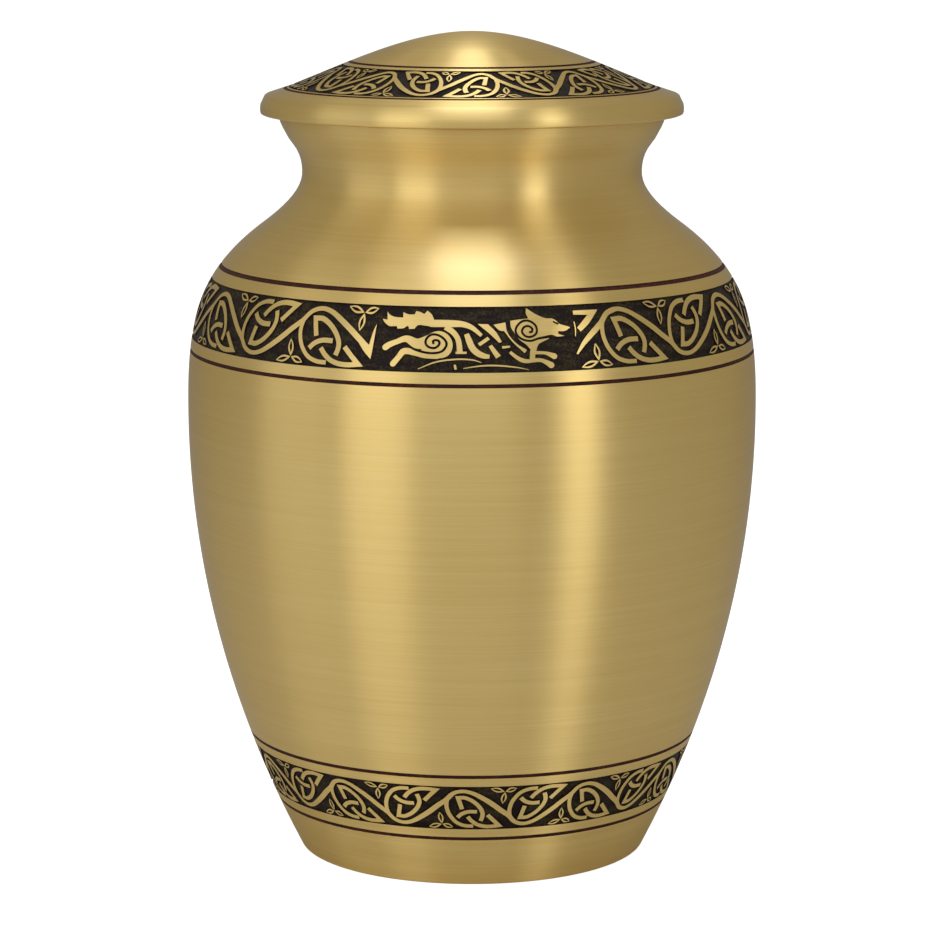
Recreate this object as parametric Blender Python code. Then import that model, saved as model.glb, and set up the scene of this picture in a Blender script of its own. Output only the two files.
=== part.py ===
"""A turned brass cremation urn with a lift-off lid and three sunk bands of scroll and knot carving.

Metres, +Z up, the origin at the centre of the underside. The front, where the hound runs to the
right, faces -Y. An angle round the urn is counted from the front towards +X.
"""

import math
from collections import Counter

import bmesh
import bpy
from mathutils import Vector
from mathutils.geometry import delaunay_2d_cdt

# Vessel: each rise is counted from the level below it
FOOT_RADIUS = 0.0549
FOOT_EDGE = 0.0008
BELLY_RADIUS = 0.0900
BELLY_RISE = 0.1418
SHOULDER_RADIUS = 0.0870
SHOULDER_RISE = 0.0302
TURN_RADIUS = 0.0664
TURN_RISE = 0.0278
NECK_RADIUS = 0.0534
NECK_RISE = 0.0165
COLLAR_TURN_RADIUS = 0.0577
COLLAR_TURN_RISE = 0.0114
COLLAR_RADIUS = 0.0607
COLLAR_RISE = 0.0065

# How fast the outline leans at each level: metres of radius for each metre of height
FOOT_LEAN = 0.51
SHOULDER_LEAN = -0.27
TURN_LEAN = -1.35
COLLAR_TURN_LEAN = 0.60
COLLAR_LEAN = 0.10

# Walls, floor and mouth
WALL = 0.0020
FLOOR_THICKNESS = 0.0022
MOUTH_RADIUS = 0.0480
LIP_THICKNESS = 0.0028

# Lid: each rise is counted from the level below it, the first from the seat on the lip
SEAT_GAP = 0.0003
RIM_RADIUS = 0.0664
RIM_RISE = 0.0030
RIM_SHOULDER_WIDTH = 0.0016
RIM_SHOULDER_RISE = 0.0031
LID_BAND_OUTER_RADIUS = 0.0574
LID_BAND_INNER_RADIUS = 0.0403
LID_BAND_START_RISE = 0.0024
LID_BAND_RISE = 0.0070
DOME_RISE = 0.0101
DOME_LEAN = -0.40
LID_WALL = 0.0018
SKIRT_DEPTH = 0.0100
SKIRT_CLEARANCE = 0.0006

# Carved bands: a sunk ground that leaves the ornament standing level with the brass round it
CARVING_DEPTH = 0.0005
MAIN_BAND_ABOVE_BELLY = 0.0231
MAIN_BAND_HEIGHT = 0.0187
FOOT_BAND_LEVEL = 0.0203
FOOT_BAND_HEIGHT = 0.0150

# Friezes: each band's length of one unit, where its first unit starts and how many units it has
MAIN_STEP = math.radians(16.5)
MAIN_START = math.radians(26.6)
MAIN_UNITS = 19
FOOT_UNITS = 22
FOOT_START = math.radians(-6.66)
LID_UNITS = 18
LID_START = math.radians(9.2)
STEM_WIDTH = 0.085
STRAP_WIDTH = 0.080

# One unit of the scroll, in steps along the band and shares of its height. The next unit is the same
# one turned upside down, so that the stem rises and falls, and each curl holds a three-cornered knot.
STEM = ((0, 0.69), (0.26, 0.89), (0.64, 0.67))
LEAD_IN = ((-0.35, 0.28), (-0.15, 0.55))
CURL = ((0.01, 0.62), (0.08, 0.26), (0.42, 0.085))
KNOT_ARCH = ((0.25, 0.475), (0.19, 0.745), (0.54, 0.52), (0.545, 0.21))
KNOT_FOOT = ((0.38, 0.22), (0.85, 0.09), (0.655, 0.345))
TREFOIL_CENTRE = (-0.085, 0.125)
TREFOIL_TIPS = ((-0.115, 0.41), (-0.315, 0.05), (0.10, 0.05))
TREFOIL_WAIST = 0.30

# The hound, in degrees round the urn and shares of the band's height
HOUND_STRAPS = (
    (0.11, ((-8.6, 0.77), (-4.2, 0.77), (-0.6, 0.72), (1.9, 0.54), (4.8, 0.33))),
    (0.11, ((-8.6, 0.50), (-13.0, 0.51), (-16.0, 0.41), (-17.2, 0.33))),
    (0.11, ((-5.4, 0.32), (-8.3, 0.26), (-12.9, 0.33), (-15.6, 0.10))),
    (0.08, ((-4.4, 0.72), (-2.6, 0.52), (-1.9, 0.31))),
    (0.08, ((-1.2, 0.60), (0.2, 0.36), (3.4, 0.24))),
    (0.08, ((1.4, 0.43), (3.6, 0.53), (5.6, 0.76), (6.4, 0.60), (8.4, 0.41), (12.3, 0.30), (16.4, 0.23))),
    (0.08, ((7.2, 0.32), (9.6, 0.18), (13.2, 0.17), (15.6, 0.06))),
    (0.07, ((-10.4, 0.06), (-7.1, 0.15), (-3.1, 0.19), (0.2, 0.19), (1.8, 0.15))),
    (0.06, ((-1.7, 0.07), (5.2, 0.11), (10.9, 0.05))),
    (0.08, ((20.9, 0.87), (25.2, 0.87), (21.8, 0.62))),
)
HOUND_TAIL = (
    (-18.3, 0.80), (-17.5, 0.92), (-14.0, 0.83), (-11.4, 0.92), (-9.7, 0.88),
    (-8.0, 0.86), (-8.0, 0.71), (-10.6, 0.70), (-12.6, 0.63), (-15.1, 0.66),
)
HOUND_HEAD = (
    (7.6, 0.79), (11.3, 0.82), (11.0, 0.95), (13.0, 0.88), (16.6, 0.81), (19.9, 0.67),
    (18.6, 0.60), (18.3, 0.53), (14.1, 0.55), (11.4, 0.38), (8.6, 0.54), (7.7, 0.66),
)
HAUNCH_CENTRE = (-7.2, 0.47)
HAUNCH_RADIUS = 0.19
HAUNCH_SIDES = 8

# Facets, and the distances under which points count as one, in the flat pattern and in the mesh
SIDES = 32
SNAP = 1e-6
WELD = 2e-6

# The steps over which a slope is read, in metres and as a share of a band, and the sharpest mitre
LEAN_STEP = 1e-5
SHARE_STEP = 0.01
MITRE_LIMIT = 0.35
BRASS_COLOUR = (0.62, 0.46, 0.20, 1.0)
BRASS_ROUGHNESS = 0.38
SHARP_ANGLE = math.radians(32)


def clear_scene():
    """Takes every object out of the open scene."""
    for thing in list(bpy.data.objects):
        bpy.data.objects.remove(thing, do_unlink=True)


def brass(name):
    """A satin brass material."""
    material = bpy.data.materials.new(name)
    material.use_nodes = True
    shader = material.node_tree.nodes["Principled BSDF"]
    shader.inputs["Base Color"].default_value = BRASS_COLOUR
    shader.inputs["Metallic"].default_value = 1.0
    shader.inputs["Roughness"].default_value = BRASS_ROUGHNESS
    return material


def hermite(start, end, at):
    """The value at a place between two (place, value, lean) stations."""
    length = end[0] - start[0]
    t = (at - start[0]) / length
    return (
        (2 * t**3 - 3 * t**2 + 1) * start[1]
        + (t**3 - 2 * t**2 + t) * length * start[2]
        + (3 * t**2 - 2 * t**3) * end[1]
        + (t**3 - t**2) * length * end[2]
    )


def stations():
    """The vessel's named levels as (height, radius, lean), from the foot up."""
    height = 0
    found = []
    for rise, radius, lean in (
        (0, FOOT_RADIUS, FOOT_LEAN),
        (BELLY_RISE, BELLY_RADIUS, 0),
        (SHOULDER_RISE, SHOULDER_RADIUS, SHOULDER_LEAN),
        (TURN_RISE, TURN_RADIUS, TURN_LEAN),
        (NECK_RISE, NECK_RADIUS, 0),
        (COLLAR_TURN_RISE, COLLAR_TURN_RADIUS, COLLAR_TURN_LEAN),
        (COLLAR_RISE, COLLAR_RADIUS, COLLAR_LEAN),
    ):
        height += rise
        found.append((height, radius, lean))
    return found


STATIONS = stations()
BELLY, SHOULDER, TURN, NECK, COLLAR_TURN, LIP = (height for height, _, _ in STATIONS[1:])


def vessel_radius(height):
    """The outside radius of the vessel at a height."""
    for low, high in zip(STATIONS, STATIONS[1:]):
        if height <= high[0]:
            return hermite(low, high, height)
    return COLLAR_RADIUS


def vessel_lean(height):
    """How fast the outside radius grows with height."""
    low = max(height - LEAN_STEP, 0)
    return (vessel_radius(low + LEAN_STEP) - vessel_radius(low)) / LEAN_STEP


def outside(height):
    """The point (radius, height) of the vessel's outside at a height."""
    return vessel_radius(height), height


def inside(height):
    """The point of the wall's inner face that lies a wall's thickness in from the outside."""
    return vessel_radius(height) - WALL * math.hypot(1, vessel_lean(height)), height


def between(low, high, count):
    """Heights spread evenly from low to high, both ends included."""
    return [low + (high - low) * k / count for k in range(count + 1)]


def on_ring(radius, height, angle):
    """The point at an angle round the urn's axis, counted from the front."""
    return Vector((radius * math.sin(angle), -radius * math.cos(angle), height))


def turn(mesh, outline):
    """Spins an open outline of (radius, height) points once round the axis."""
    verts = [mesh.verts.new(on_ring(radius, height, 0)) for radius, height in outline]
    edges = [mesh.edges.new(pair) for pair in zip(verts, verts[1:])]
    bmesh.ops.spin(mesh, geom=verts + edges, cent=(0, 0, 0), axis=(0, 0, 1),
                   angle=math.tau, steps=SIDES, use_merge=True)


class Band:
    """A carved band on a turned surface, and the flat pattern that is laid round it.

    The pattern is drawn in metres along the band and up it. The surface gives the point
    (radius, height) at a share of the way up the band, and its outward normal there.
    """

    def __init__(self, surface, step, start, runs=1):
        self.surface = surface
        self.step = step
        self.start = start
        self.runs = runs
        low, high = Vector(surface(0)), Vector(surface(1))
        self.height = (high - low).length
        self.radius = (low.x + high.x) / 2
        self.shapes = []

    def at(self, unit, point):
        """A unit's point (steps, share) in metres along and up. Odd units are upside down."""
        share = 1 - point[1] if unit % 2 else point[1]
        return Vector(((unit + point[0]) * self.step * self.radius, share * self.height))

    def at_degrees(self, point):
        """A point (degrees from the front, share) in metres along and up."""
        angle = math.radians(point[0]) - self.start
        return Vector((self.runs * angle * self.radius, point[1] * self.height))

    def once_round(self):
        """The band's length once round, as a vector along it."""
        return Vector((math.tau * self.radius, 0))

    def strap(self, path, width, closed=False):
        """Lays a strap along a path, one four-sided shape to each stretch, mitred at its turns."""
        ends = (path[-1] - self.once_round(), path[0] + self.once_round())
        line = [ends[0], *path, ends[1]] if closed else [path[0], *path, path[-1]]
        sides = []
        for before, here, after in zip(line, line[1:], line[2:]):
            into = (here - before).normalized()
            out = (after - here).normalized()
            along = (into + out).normalized()
            across = Vector((-along.y, along.x)) * width * self.height / 2
            across /= max(along.dot(out if out.length else into), MITRE_LIMIT)
            sides.append((here + across, here - across))
        if closed:
            sides.append(sides[0])
        for (left, right), (next_left, next_right) in zip(sides, sides[1:]):
            self.shapes.append((left, right, next_right, next_left))

    def trefoil(self, unit):
        """A unit's trefoil: three pointed leaves round a centre, as one star."""
        centre = self.at(unit, TREFOIL_CENTRE)
        tips = [self.at(unit, tip) for tip in TREFOIL_TIPS]
        star = []
        for tip, following in zip(tips, tips[1:] + tips[:1]):
            valley = (tip - centre).normalized() + (following - centre).normalized()
            star += [tip, centre + valley * (tip - centre).length * TREFOIL_WAIST]
        self.shapes.append(star)

    def unit(self, unit, full):
        """The curl and the knot of one unit. The small bands leave out the knot's foot and the trefoil."""
        arch = KNOT_ARCH if full else KNOT_ARCH[:-1]
        self.strap([self.at(unit, p) for p in CURL], STEM_WIDTH)
        self.strap([self.at(unit, p) for p in arch], STRAP_WIDTH)
        if full:
            self.strap([self.at(unit, p) for p in KNOT_FOOT], STRAP_WIDTH)
            self.trefoil(unit)

    def frieze(self, units, closed, full):
        """The running scroll: its stem, then each unit's curl and knot."""
        path = [] if closed else [self.at(0, p) for p in LEAD_IN]
        for unit in range(units):
            path += [self.at(unit, p) for p in STEM]
        if not closed:
            path.append(self.at(units, STEM[0]))
        self.strap(path, STEM_WIDTH, closed)
        for unit in range(units):
            self.unit(unit, full)

    def hound(self):
        """The running hound at the front: tail, haunch, head, and straps for the body and the legs."""
        for width, path in HOUND_STRAPS:
            self.strap([self.at_degrees(p) for p in path], width)
        self.shapes.append([self.at_degrees(p) for p in HOUND_TAIL])
        self.shapes.append([self.at_degrees(p) for p in HOUND_HEAD])
        centre = self.at_degrees(HAUNCH_CENTRE)
        haunch = []
        for k in range(HAUNCH_SIDES):
            turned = math.tau * k / HAUNCH_SIDES
            haunch.append(centre + Vector((math.cos(turned), math.sin(turned))) * HAUNCH_RADIUS * self.height)
        self.shapes.append(haunch)

    def flat(self, angle, share):
        """Where a point of the band lies in the flat ring that is cut into triangles."""
        reach = self.radius + (share - 0.5) * self.height
        return Vector((reach * math.sin(angle), -reach * math.cos(angle)))

    def lift(self, point, depth=0.0):
        """The place on the turned surface, or at a depth under it, of a point of the flat ring."""
        share = (point.length - self.radius) / self.height + 0.5
        share = min(max(share, 0), 1)
        here = Vector(self.surface(share))
        above = Vector(self.surface(min(share + SHARE_STEP, 1)))
        slope = above - Vector(self.surface(max(share - SHARE_STEP, 0)))
        inward = Vector((-slope.y, slope.x)).normalized() * depth
        radius, height = here + inward
        return on_ring(radius, height, math.atan2(point.x, -point.y))

    def lay(self, mesh):
        """Adds the band's faces to the mesh: ornament at the surface, ground below it, walls between."""
        corners = [self.flat(math.tau * k / SIDES, share) for share in (0, 1) for k in range(SIDES)]
        faces = [list(range(SIDES)), list(range(SIDES, 2 * SIDES))]
        for shape in self.shapes:
            flat = [self.flat(self.start + self.runs * p.x / self.radius, p.y / self.height) for p in shape]
            signed = sum(a.cross(b) for a, b in zip(flat, flat[1:] + flat[:1]))
            numbers = list(range(len(corners), len(corners) + len(flat)))
            faces.append(numbers if signed > 0 else numbers[::-1])
            corners += flat
        points, _, triangles, _, _, sources = delaunay_2d_cdt(corners, [], faces, 0, SNAP, True)
        top = [mesh.verts.new(self.lift(point)) for point in points]
        low = [mesh.verts.new(self.lift(point, CARVING_DEPTH)) for point in points]
        inside_band = [(t, max(s) > 1) for t, s in zip(triangles, sources) if s and 0 not in s]
        ornament = [triangle for triangle, raised in inside_band if raised]
        ground = [triangle for triangle, raised in inside_band if not raised]
        while touching := pinched(ground):
            ornament += [triangle for triangle in ground if touching & set(triangle)]
            ground = [triangle for triangle in ground if not touching & set(triangle)]
        for verts, patch in ((top, ornament), (low, ground)):
            for triangle in patch:
                mesh.faces.new([verts[k] for k in triangle])
        inner_points = [v for v in top + low if v.link_faces and not v.is_boundary]
        bmesh.ops.dissolve_verts(mesh, verts=inner_points)
        for a, b in rim(ground):
            mesh.faces.new((top[a], top[b], low[b], low[a]))
        bmesh.ops.delete(mesh, geom=[v for v in mesh.verts if not v.link_faces], context="VERTS")


def rim(triangles):
    """The edges of a patch of triangles that no second triangle of it shares."""
    edges = {edge for t in triangles for edge in zip(t, t[1:] + t[:1])}
    return [(a, b) for a, b in edges if (b, a) not in edges]


def pinched(triangles):
    """The points where the patch's rim passes twice, so that what lies outside it meets in one point."""
    passes = Counter(a for a, _ in rim(triangles))
    return {point for point, times in passes.items() if times > 1}


def finish(mesh, name):
    """Closes the mesh into one body, faces it outward and makes the named object of it."""
    bmesh.ops.remove_doubles(mesh, verts=mesh.verts, dist=WELD)
    bmesh.ops.triangulate(mesh, faces=mesh.faces)
    bmesh.ops.recalc_face_normals(mesh, faces=mesh.faces)
    data = bpy.data.meshes.new(name)
    mesh.to_mesh(data)
    mesh.free()
    for polygon in data.polygons:
        polygon.use_smooth = True
    data.set_sharp_from_angle(angle=SHARP_ANGLE)
    data.materials.append(brass(f"{name}_brass"))
    bpy.context.scene.collection.objects.link(bpy.data.objects.new(name, data))


def foot_band_point(share):
    """The vessel's outside at a share of the way up its low band."""
    return outside(FOOT_BAND_LEVEL + FOOT_BAND_HEIGHT * share)


def main_band_point(share):
    """The vessel's outside at a share of the way up its main band."""
    return outside(BELLY + MAIN_BAND_ABOVE_BELLY + MAIN_BAND_HEIGHT * share)


def build_body():
    """The hollow vessel: a flat floor, a swelling wall, a narrow neck and a flat lip round the mouth."""
    mesh = bmesh.new()
    foot_band = Band(foot_band_point, math.tau / FOOT_UNITS, FOOT_START)
    foot_band.frieze(FOOT_UNITS, True, False)
    foot_band.lay(mesh)
    main_band = Band(main_band_point, MAIN_STEP, MAIN_START)
    main_band.frieze(MAIN_UNITS, False, True)
    main_band.hound()
    main_band.lay(mesh)
    foot_band_top = foot_band_point(1)[1]
    main_band_low = main_band_point(0)[1]
    main_band_top = main_band_point(1)[1]
    foot = [(0, 0), (FOOT_RADIUS - FOOT_EDGE, 0)]
    turn(mesh, foot + [outside(h) for h in (FOOT_EDGE, FOOT_BAND_LEVEL)])
    turn(mesh, [outside(h) for h in between(foot_band_top, BELLY, 4) + [main_band_low]])
    shoulder = between(main_band_top, TURN, 3) + between(TURN, NECK, 3)[1:]
    collar = between(NECK, COLLAR_TURN, 2)[1:] + [LIP]
    wall = [inside(h) for h in between(FLOOR_THICKNESS, BELLY, 4) + [main_band_low] + shoulder]
    wall += [inside(h) for h in between(NECK, COLLAR_TURN, 2)[1:] + [LIP - LIP_THICKNESS]]
    mouth = [(MOUTH_RADIUS, LIP - LIP_THICKNESS), (MOUTH_RADIUS, LIP)]
    floor = [(0, FLOOR_THICKNESS)]
    turn(mesh, [outside(h) for h in shoulder + collar] + (floor + wall + mouth)[::-1])
    finish(mesh, "urn_body")


SEAT = LIP + SEAT_GAP
LID_BAND_LEVEL = SEAT + RIM_RISE + RIM_SHOULDER_RISE + LID_BAND_START_RISE
APEX = LID_BAND_LEVEL + LID_BAND_RISE + DOME_RISE


def lid_band_point(share):
    """A point (radius, height) of the lid's carved slope, from its outer edge up to its inner one."""
    radius = LID_BAND_OUTER_RADIUS + (LID_BAND_INNER_RADIUS - LID_BAND_OUTER_RADIUS) * share
    return radius, LID_BAND_LEVEL + LID_BAND_RISE * share


def dome_point(radius):
    """The point of the dome's outside at a radius."""
    edge = (LID_BAND_INNER_RADIUS, lid_band_point(1)[1], DOME_LEAN)
    return radius, hermite((0, APEX, 0), edge, radius)


def build_lid():
    """The hollow lid: a dome in a carved slope, a thick rim, and a skirt that drops into the mouth."""
    mesh = bmesh.new()
    band = Band(lid_band_point, math.tau / LID_UNITS, LID_START, -1)
    band.frieze(LID_UNITS, True, False)
    band.lay(mesh)
    skirt_radius = MOUTH_RADIUS - SKIRT_CLEARANCE
    bore_radius = skirt_radius - LID_WALL
    rim = [
        (RIM_RADIUS, SEAT),
        (RIM_RADIUS, SEAT + RIM_RISE),
        (RIM_RADIUS - RIM_SHOULDER_WIDTH, SEAT + RIM_RISE + RIM_SHOULDER_RISE),
        lid_band_point(0),
    ]
    slope = (bore_radius - LID_BAND_OUTER_RADIUS) / (LID_BAND_INNER_RADIUS - LID_BAND_OUTER_RADIUS)
    drop = LID_WALL + CARVING_DEPTH
    bore = [(bore_radius, SEAT - SKIRT_DEPTH), (bore_radius, lid_band_point(slope)[1] - drop)]
    inner = lid_band_point(1)
    half = inner[0] / 2
    ceiling = [(inner[0], inner[1] - drop), (half, dome_point(half)[1] - drop), (0, APEX - drop)]
    skirt = [(skirt_radius, SEAT), (skirt_radius, SEAT - SKIRT_DEPTH)]
    turn(mesh, rim[::-1] + skirt + bore + ceiling)
    turn(mesh, [dome_point(r) for r in between(LID_BAND_INNER_RADIUS, 0, 3)])
    finish(mesh, "urn_lid")


clear_scene()
build_body()
build_lid()
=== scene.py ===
"""Dresses the brass cremation urn: turned walls, carved bands, their finishes, a studio and a camera."""

import logging
import math
from collections.abc import Callable, Sequence
from dataclasses import dataclass, field
from enum import Enum

import bmesh
import bpy
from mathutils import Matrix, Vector
from mathutils.geometry import delaunay_2d_cdt


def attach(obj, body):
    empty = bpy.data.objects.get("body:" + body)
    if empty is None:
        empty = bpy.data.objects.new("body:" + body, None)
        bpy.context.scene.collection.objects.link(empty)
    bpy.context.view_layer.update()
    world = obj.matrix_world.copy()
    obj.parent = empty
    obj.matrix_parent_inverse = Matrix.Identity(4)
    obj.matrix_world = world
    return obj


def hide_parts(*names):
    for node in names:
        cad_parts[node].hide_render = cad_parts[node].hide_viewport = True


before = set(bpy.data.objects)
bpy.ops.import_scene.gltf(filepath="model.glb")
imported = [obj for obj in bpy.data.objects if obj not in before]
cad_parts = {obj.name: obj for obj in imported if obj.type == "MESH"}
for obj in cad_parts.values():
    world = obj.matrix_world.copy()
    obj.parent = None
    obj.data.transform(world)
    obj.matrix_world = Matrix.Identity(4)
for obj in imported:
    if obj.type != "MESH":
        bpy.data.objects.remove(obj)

LOG = logging.getLogger("urn")
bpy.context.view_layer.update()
MM = 0.001

# How many points each turned ring has, and each border of a band.
ROUND = 240
# How sharp a corner may be before its mitre is cut short: of a closed outline, and of a strap.
OUTLINE_MITRE = 0.3
STRAP_MITRE = 0.4
# How far from a corner a strap's next point lies, in strap widths, so that the mitre has room.
CORNER_ROOM = 0.95
# The sides of a half circle that ends a round strap.
PAW_SIDES = 6
# The steps over which a lean is measured: in metres up an outline, and in shares of a band's height.
LEAN_STEP = 0.01 * MM
SHARE_STEP = 0.01
# How close two corners of the flat ring, in millimetres, count as one.
SAME_CORNER = 1e-5
# How close two points of neighbouring shells count as one, and how near a ring's points lie to it.
WELD = 0.002 * MM
RING_REACH = 0.01 * MM
# The sharpest bend that is still shaded as smooth.
SMOOTH_BEND = math.radians(32)
# A groove's depth, how far in its sides slant as a share of its width, and the room it clears.
GROOVE_DEPTH = 0.25 * MM
GROOVE_SLANT = 0.15
GROOVE_ROOM = 0.6

Point = tuple[float, float]
Run = tuple[Point, ...]
Outline = list[Vector]
Colour = tuple[float, float, float, float]


class Slot(Enum):
    """The material slots of a carved piece, in their order on the mesh."""

    BRASS = 0
    GROUND = 1
    LINE = 2
    INSIDE = 3


class Cut(Enum):
    """What a shape of the pattern does: it stands up from the ground, or is cut into what stands."""

    RAISED = "raised"
    SUNK = "sunk"


class Way(Enum):
    """Which way round the urn a frieze runs, seen from outside with its top up."""

    RIGHT = 1
    LEFT = -1


@dataclass(frozen=True)
class Level:
    """One level of a turned outline: its height, its radius and how fast the radius grows there."""

    height: float
    radius: float
    lean: float = 0.0


@dataclass(frozen=True)
class Turning:
    """A turned outline that runs smoothly through its levels, from the lowest up."""

    levels: tuple[Level, ...]

    def radius(self, height: float) -> float:
        """Gives the outline's radius at a height.

        Args:
            height: The height above the underside, in metres.

        Returns:
            The radius, in metres.
        """
        for low, high in zip(self.levels, self.levels[1:]):
            if height <= high.height:
                return hermite(
                    (low.height, low.radius, low.lean), (high.height, high.radius, high.lean), height
                )
        return self.levels[-1].radius

    def point(self, height: float) -> Point:
        """Gives the outline's point (radius, height) at a height."""
        return self.radius(height), height

    def inner(self, height: float, wall: float) -> Point:
        """Gives the point of a wall's inner face.

        Args:
            height: The height above the underside.
            wall: The wall's thickness.

        Returns:
            The point (radius, height) that lies the wall's thickness in from the outline.
        """
        lean = (self.radius(height + LEAN_STEP) - self.radius(height)) / LEAN_STEP
        return self.radius(height) - wall * math.hypot(1, lean), height


def hermite(start: tuple[float, float, float], end: tuple[float, float, float], at: float) -> float:
    """Runs smoothly between two stations.

    Args:
        start: The first station as (place, value, lean).
        end: The second station.
        at: The place to read.

    Returns:
        The value there.
    """
    length = end[0] - start[0]
    t = (at - start[0]) / length
    return (
        (2 * t**3 - 3 * t**2 + 1) * start[1]
        + (t**3 - 2 * t**2 + t) * length * start[2]
        + (3 * t**2 - 2 * t**3) * end[1]
        + (t**3 - t**2) * length * end[2]
    )


def spread(low: float, high: float, count: int) -> list[float]:
    """Spreads values evenly from low to high, both ends included."""
    return [low + (high - low) * k / count for k in range(count + 1)]


def on_ring(radius: float, height: float, angle: float) -> Vector:
    """Gives the point at an angle round the urn, counted from the front towards +X."""
    return Vector((radius * math.sin(angle), -radius * math.cos(angle), height))


def smooth_run(points: Sequence[Vector], spacing: float) -> Outline:
    """Runs a smooth curve through points.

    Args:
        points: The points that the curve passes through, at least two.
        spacing: About how far apart the curve's own points lie.

    Returns:
        The points along the curve, its ends included.
    """
    first = points[0] * 2 - points[1]
    last = points[-1] * 2 - points[-2]
    line = [first, *points, last]
    run = [points[0].copy()]
    for before, start, end, after in zip(line, line[1:], line[2:], line[3:]):
        chord = (end - start).xy.length
        into = (end - before) * chord / (end - before).xy.length
        out = (after - start) * chord / (after - start).xy.length
        count = max(1, round(chord / spacing))
        for k in range(1, count + 1):
            t = k / count
            run.append(
                start * (2 * t**3 - 3 * t**2 + 1)
                + into * (t**3 - 2 * t**2 + t)
                + end * (3 * t**2 - 2 * t**3)
                + out * (t**3 - t**2)
            )
    return run


def signed_area(outline: Sequence[Vector]) -> float:
    """Gives twice an outline's area, positive where it runs anticlockwise."""
    return sum(a.x * b.y - a.y * b.x for a, b in zip(outline, [*outline[1:], outline[0]]))


def grown(outline: Outline, by: float) -> Outline:
    """Moves a closed outline outwards all round, mitred at its corners.

    Args:
        outline: The closed outline.
        by: How far its edge moves out, or in where it is negative.

    Returns:
        The new outline, with as many points.
    """
    side = by if signed_area(outline) > 0 else -by
    moved = []
    for k, here in enumerate(outline):
        into = (here - outline[k - 1]).normalized()
        out = (outline[(k + 1) % len(outline)] - here).normalized()
        along = (into + out).normalized()
        reach = side / max(along.dot(out), OUTLINE_MITRE)
        moved.append(here + Vector((along.y, -along.x)) * reach)
    return moved


@dataclass(frozen=True)
class Stroke:
    """A strap of the ornament, drawn along its middle line.

    Its runs are each smooth, and it turns a sharp, mitred corner where two of them meet. Its widths are
    spread evenly over its points.
    """

    runs: tuple[Run, ...]
    widths: tuple[float, ...]
    round_end: bool = False

    def outline(self, place: Callable[[Point], Vector], spacing: float) -> Outline:
        """Draws the strap's outline.

        Args:
            place: Puts a point of the strap in the band's flat pattern.
            spacing: About how far apart the outline's points lie.

        Returns:
            The closed outline, in the flat pattern.
        """
        line, corners = self.middle_line(place, spacing)
        line = [p for p in line if p in corners or self.clear_of(p, corners)]
        left: Outline = []
        right: Outline = []
        for k, here in enumerate(line):
            into = (here - line[max(k - 1, 0)]).xy.normalized()
            out = (line[min(k + 1, len(line) - 1)] - here).xy.normalized()
            along = (into + out).normalized()
            reach = here.z / 2 / max(along.dot(out if out.length else into), STRAP_MITRE)
            across = Vector((-along.y, along.x)) * reach
            left.append(here.xy + across)
            right.append(here.xy - across)
        cap: Outline = []
        if self.round_end:
            ahead = (line[-1] - line[-2]).xy.normalized() * line[-1].z / 2
            side = Vector((-ahead.y, ahead.x))
            for k in range(1, PAW_SIDES):
                turned_by = math.pi * k / PAW_SIDES
                cap.append(line[-1].xy + side * math.cos(turned_by) + ahead * math.sin(turned_by))
        return left + cap + right[::-1]

    def middle_line(self, place: Callable[[Point], Vector], spacing: float) -> tuple[Outline, Outline]:
        """Runs along the strap's middle.

        Args:
            place: Puts a point of the strap in the band's flat pattern.
            spacing: About how far apart the points lie.

        Returns:
            The points, each with the strap's width as its third number, and the points that are corners.
        """
        last = sum(len(run) - 1 for run in self.runs)
        line: Outline = []
        corners: Outline = []
        count = 0
        for run in self.runs:
            placed = [Vector((*place(p), self.width((count + k) / last))) for k, p in enumerate(run)]
            count += len(run) - 1
            smooth = smooth_run(placed, spacing)
            if line:
                corners.append(smooth.pop(0))
            line += smooth
        return line, corners

    def width(self, share: float) -> float:
        """Gives the strap's width at a share of its points.

        Args:
            share: The share, from 0 to 1.

        Returns:
            The width.
        """
        if len(self.widths) == 1:
            return self.widths[0]
        at = share * (len(self.widths) - 1)
        k = min(int(at), len(self.widths) - 2)
        return self.widths[k] + (self.widths[k + 1] - self.widths[k]) * (at - k)

    def clear_of(self, point: Vector, corners: Outline) -> bool:
        """Says whether a point is far enough from every corner to leave the mitre room."""
        return all((point - corner).xy.length > CORNER_ROOM * max(self.widths) for corner in corners)


@dataclass(frozen=True)
class Blade:
    """A closed shape of smooth runs, each from the sharp corner where the one before it ends."""

    runs: tuple[Run, ...]

    def outline(self, place: Callable[[Point], Vector], spacing: float) -> Outline:
        """Draws the closed outline.

        Args:
            place: Puts a point in the band's flat pattern.
            spacing: About how far apart the outline's points lie.

        Returns:
            The closed outline, in the flat pattern.
        """
        line: Outline = []
        corner = self.runs[-1][-1]
        for run in self.runs:
            line += smooth_run([place(p) for p in (corner, *run)], spacing)[:-1]
            corner = run[-1]
        return line


def strap(widths: Sequence[float], *runs: Run, round_end: bool = False) -> Stroke:
    """Makes a strap from its widths in millimetres and its runs."""
    return Stroke(runs, tuple(width * MM for width in widths), round_end)


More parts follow.
